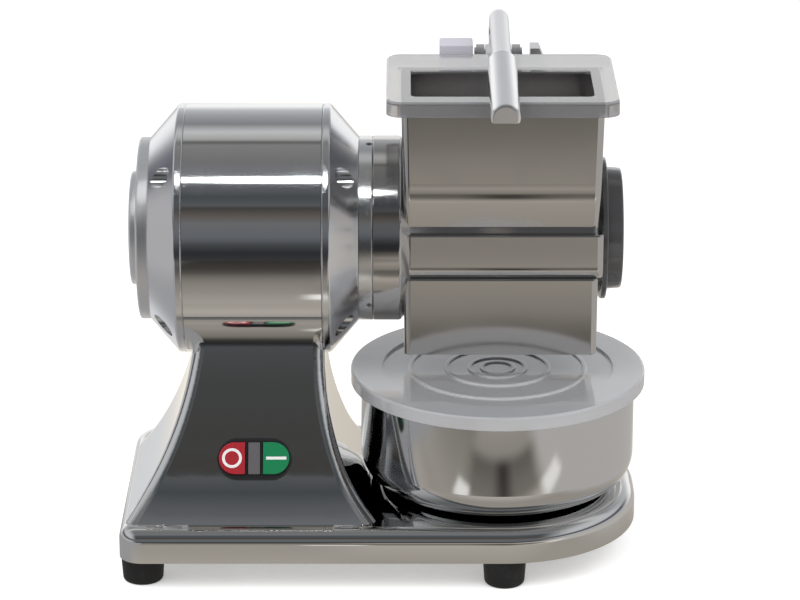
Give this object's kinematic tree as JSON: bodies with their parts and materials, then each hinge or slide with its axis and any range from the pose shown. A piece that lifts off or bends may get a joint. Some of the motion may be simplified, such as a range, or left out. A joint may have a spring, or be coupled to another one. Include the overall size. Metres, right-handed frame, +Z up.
{
  "type": "electric grater",
  "caption": "Table-top electric grater: polished cast stand and motor barrel, hopper with presser lever and clear guard, push-button switch, and a lidded steel bowl under the chute.",
  "frame": {"origin": "on the floor plane under the middle of the bounding box", "axes": "+X along the motor axis from the motor towards the hopper, -Y towards the user, +Z up"},
  "size_m": [0.405, 0.2364, 0.405],
  "materials": {
    "polished_casting": "polished casting",
    "polished_barrel": "mirror polish",
    "lever_metal": "bright satin",
    "bracket_metal": "satin",
    "bowl_steel": "polished",
    "lid_plastic": "frosted translucent",
    "clear_plastic": "clear gloss",
    "black_plastic": "semi-gloss",
    "interlock_plastic": "satin",
    "bezel_plastic": "satin",
    "stop_red": "gloss",
    "start_green": "gloss",
    "lens_grey": "gloss",
    "foot_rubber": "matte",
    "seal_rubber": "matte",
    "drum_steel": "satin",
    "bright_steel": "ground",
    "screw_steel": "zinc",
    "plate_steel": "satin sheet",
    "core_steel": "laminated",
    "winding_copper": "enamelled",
    "capacitor_plastic": "satin"
  },
  "bodies": {
    "frame": {"bottom_plate": "plate_steel", "bottom_plate_screws": "screw_steel", "cable_gland": "black_plastic", "coupling_ring": "polished_casting", "coupling_ring_screws": "screw_steel", "end_cover": "polished_casting", "end_cover_boss": "polished_casting", "end_cover_screws": "screw_steel", "foot_front_left": "foot_rubber", "foot_front_right": "foot_rubber", "foot_rear_left": "foot_rubber", "foot_rear_right": "foot_rubber", "foot_screws": "screw_steel", "grub_screws": "screw_steel", "head_casting": "polished_casting", "hinge_bracket": "bracket_metal", "hinge_bracket_screws": "screw_steel", "hinge_pin": "bright_steel", "hopper_guard": "clear_plastic", "indicator_lens": "lens_grey", "interlock_box": "interlock_plastic", "left_bearing_balls": "bright_steel", "left_bearing_outer": "bright_steel", "left_end_shield": "polished_casting", "motor_barrel": "polished_barrel", "right_bearing_balls": "bright_steel", "right_bearing_outer": "bright_steel", "right_end_shield": "polished_casting", "run_capacitor": "capacitor_plastic", "saddle_screws": "screw_steel", "shaft_seal": "seal_rubber", "stand_casting": "polished_casting", "stator_core": "core_steel", "stator_windings": "winding_copper", "switch_bezel": "bezel_plastic", "switch_contact_block": "black_plastic", "switch_nut": "black_plastic", "tie_bolts": "screw_steel"},
    "rotor": {"motor_shaft": "bright_steel", "rotor_core": "core_steel", "cooling_fan": "black_plastic", "left_bearing_inner": "bright_steel", "right_bearing_inner": "bright_steel", "grating_drum": "drum_steel", "drum_hub_left": "drum_steel", "drum_hub_right": "drum_steel", "drive_pin": "bright_steel", "drum_bolt": "bright_steel"},
    "lever": {"lever_arm": "lever_metal", "lever_grip": "lever_metal", "presser": "lever_metal", "presser_screws": "screw_steel", "interlock_magnet": "bright_steel"},
    "stop_button": {"stop_button": "stop_red"},
    "start_button": {"start_button": "start_green"},
    "bowl": {"bowl": "bowl_steel"},
    "lid": {"bowl_lid": "lid_plastic"},
    "cap": {"end_cap": "black_plastic", "cap_seal": "seal_rubber"}
  },
  "joints": [
    {"name": "drum_spin", "type": "hinge", "parent": "frame", "child": "rotor", "pos_m": [0.089, 0.02175, 0.247], "axis": [1, 0, 0], "continuous": true},
    {"name": "lever_lift", "type": "hinge", "parent": "frame", "child": "lever", "pos_m": [0.089, 0.09975, 0.364], "axis": [-1, 0, 0], "range_deg": [0, 80]},
    {"name": "stop_press", "type": "slide", "parent": "frame", "child": "stop_button", "axis": [0, 0.878, -0.4786], "range_m": [0, 0.002], "stiffness_N_per_m": 600, "springref_m": -0.002},
    {"name": "start_press", "type": "slide", "parent": "frame", "child": "start_button", "axis": [0, 0.878, -0.4786], "range_m": [0, 0.002], "stiffness_N_per_m": 600, "springref_m": -0.002},
    {"name": "bowl_slide", "type": "slide", "parent": "frame", "child": "bowl", "axis": [0, -1, 0], "range_m": [0, 0.28]},
    {"name": "lid_lift", "type": "slide", "parent": "bowl", "child": "lid", "axis": [0, 0, 1], "range_m": [0, 0.018]},
    {"name": "cap_pull", "type": "slide", "parent": "frame", "child": "cap", "axis": [1, 0, 0], "range_m": [0, 0.03]}
  ]
}
